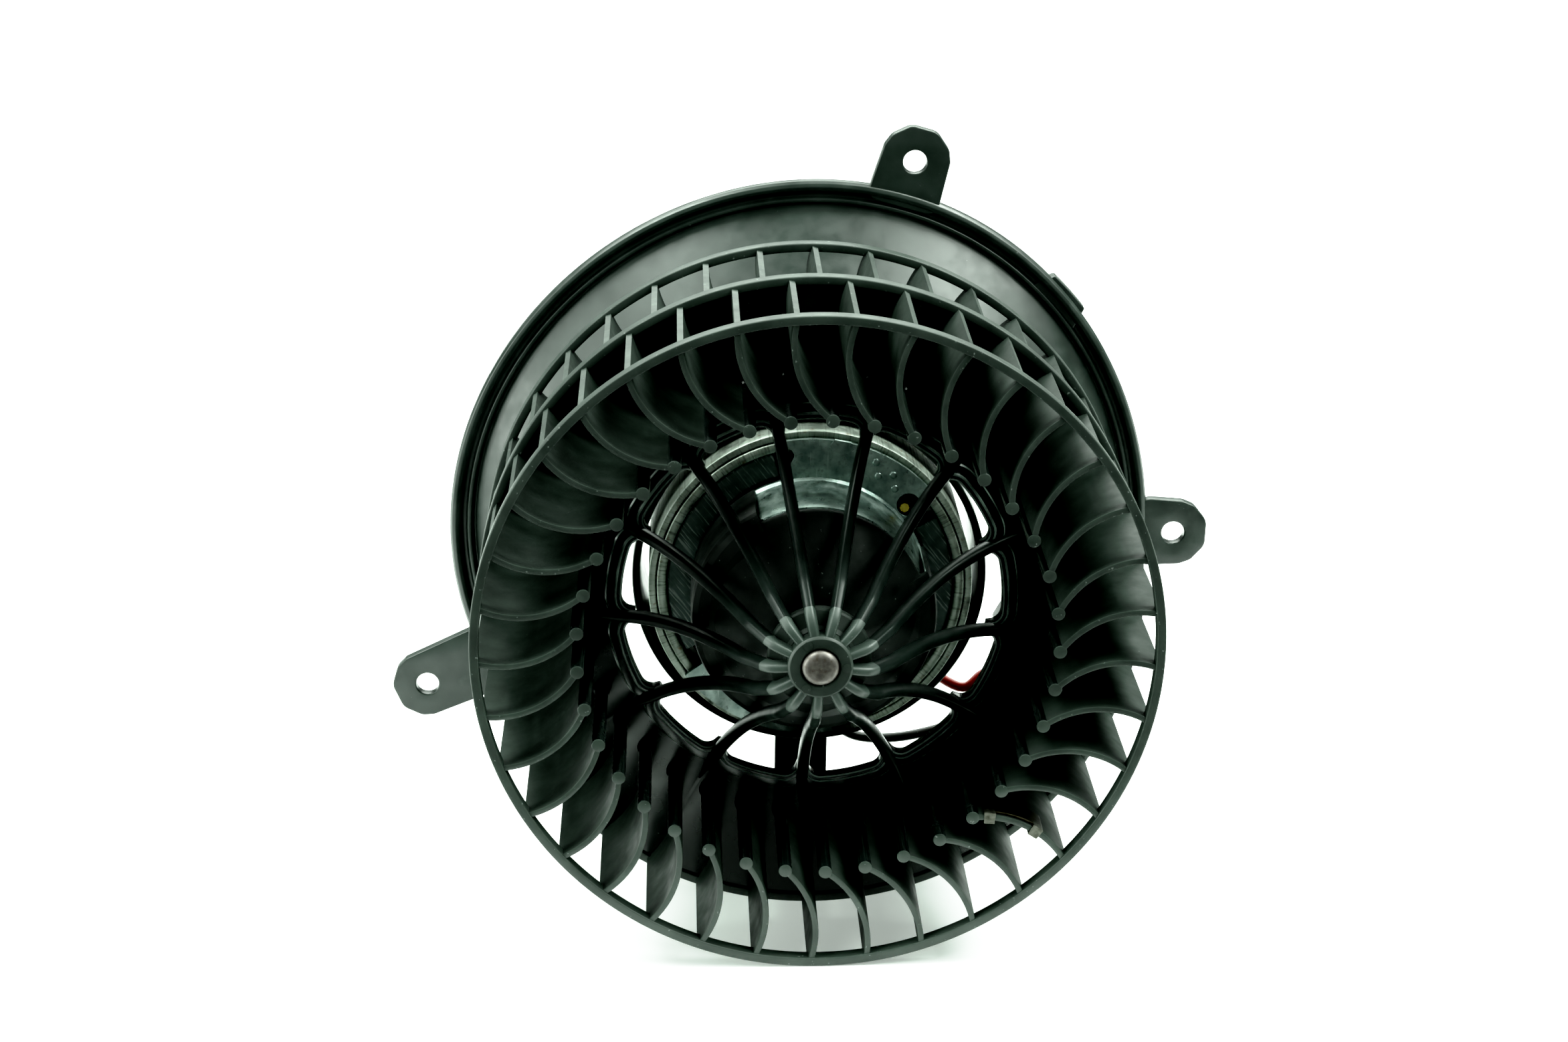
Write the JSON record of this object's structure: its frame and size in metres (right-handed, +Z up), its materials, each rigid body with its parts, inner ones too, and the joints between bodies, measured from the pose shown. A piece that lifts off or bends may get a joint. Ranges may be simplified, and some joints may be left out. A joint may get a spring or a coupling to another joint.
{
  "type": "blower motor wheel",
  "caption": "Centrifugal blower wheel with two rows of curved blades on a DC motor held in a round flange with bolting ears.",
  "frame": {"origin": "on the shaft axis, in the plane of the flange lip's front face", "axes": "+Y along the shaft from the wheel's inlet towards the flange's back, +Z up with the longest ear upper right, +X right seen from the inlet"},
  "size_m": [0.1978, 0.1215, 0.1805],
  "materials": {
    "moulded_black": "fine moulded grain, semi-matt black",
    "cap_black": "dull black moulding",
    "shaft_steel": "ground steel with a domed end",
    "yoke_steel": "sheared steel edge with light rust",
    "zinc_plate": "dull zinc plating",
    "spring_steel": "bright spring steel",
    "ferrite": "ground sintered ferrite",
    "lamination": "stacked sheet steel",
    "copper": "enamelled winding wire",
    "brass": "drawn brass",
    "bronze": "oil-filled sintered bronze",
    "carbon": "pressed carbon",
    "card": "laminated insulating card",
    "rubber": "soft black rubber",
    "lead_red": "flexible insulation",
    "lead_black": "flexible insulation",
    "connector": "moulded connector"
  },
  "bodies": {
    "housing": {"motor_flange": "moulded_black", "brush_cap": "cap_black", "motor_yoke": "yoke_steel", "flux_ring": "yoke_steel", "front_bracket": "zinc_plate", "magnet_clip_a": "spring_steel", "magnet_clip_b": "spring_steel", "brush_spring_a": "spring_steel", "brush_spring_b": "spring_steel", "field_magnet_a": "ferrite", "field_magnet_b": "ferrite", "choke_a": "copper", "choke_b": "copper", "brass_terminal": "brass", "brush_holder_a": "brass", "brush_holder_b": "brass", "connector_pin_a": "brass", "connector_pin_b": "brass", "front_bearing": "bronze", "rear_bearing": "bronze", "brush_card": "card", "rubber_mount_a": "rubber", "rubber_mount_b": "rubber", "rubber_mount_c": "rubber", "motor_lead_red": "lead_red", "motor_lead_black": "lead_black", "connector_housing": "connector"},
    "rotor": {"fan_wheel_hub": "moulded_black", "fan_wheel_front_blades": "moulded_black", "fan_wheel_rear_blades": "moulded_black", "motor_shaft": "shaft_steel", "armature_core": "lamination", "armature_winding": "copper", "commutator": "copper", "thrust_washer_front": "bronze", "thrust_washer_rear": "bronze", "balance_clip": "spring_steel"},
    "brush_a": {"carbon_brush_a": "carbon"},
    "brush_b": {"carbon_brush_b": "carbon"}
  },
  "joints": [
    {"name": "rotor_spin", "type": "hinge", "parent": "housing", "child": "rotor", "pos_m": [0, 0, 0], "axis": [0, 1, 0], "continuous": true},
    {"name": "brush_a_slide", "type": "slide", "parent": "housing", "child": "brush_a", "axis": [0, 0, 1], "range_m": [0, 0.0019], "stiffness_N_per_m": 60, "springref_m": -0.003, "deforming": ["brush_spring_a"]},
    {"name": "brush_b_slide", "type": "slide", "parent": "housing", "child": "brush_b", "axis": [0, 0, -1], "range_m": [0, 0.0019], "stiffness_N_per_m": 60, "springref_m": -0.003, "deforming": ["brush_spring_b"]}
  ]
}
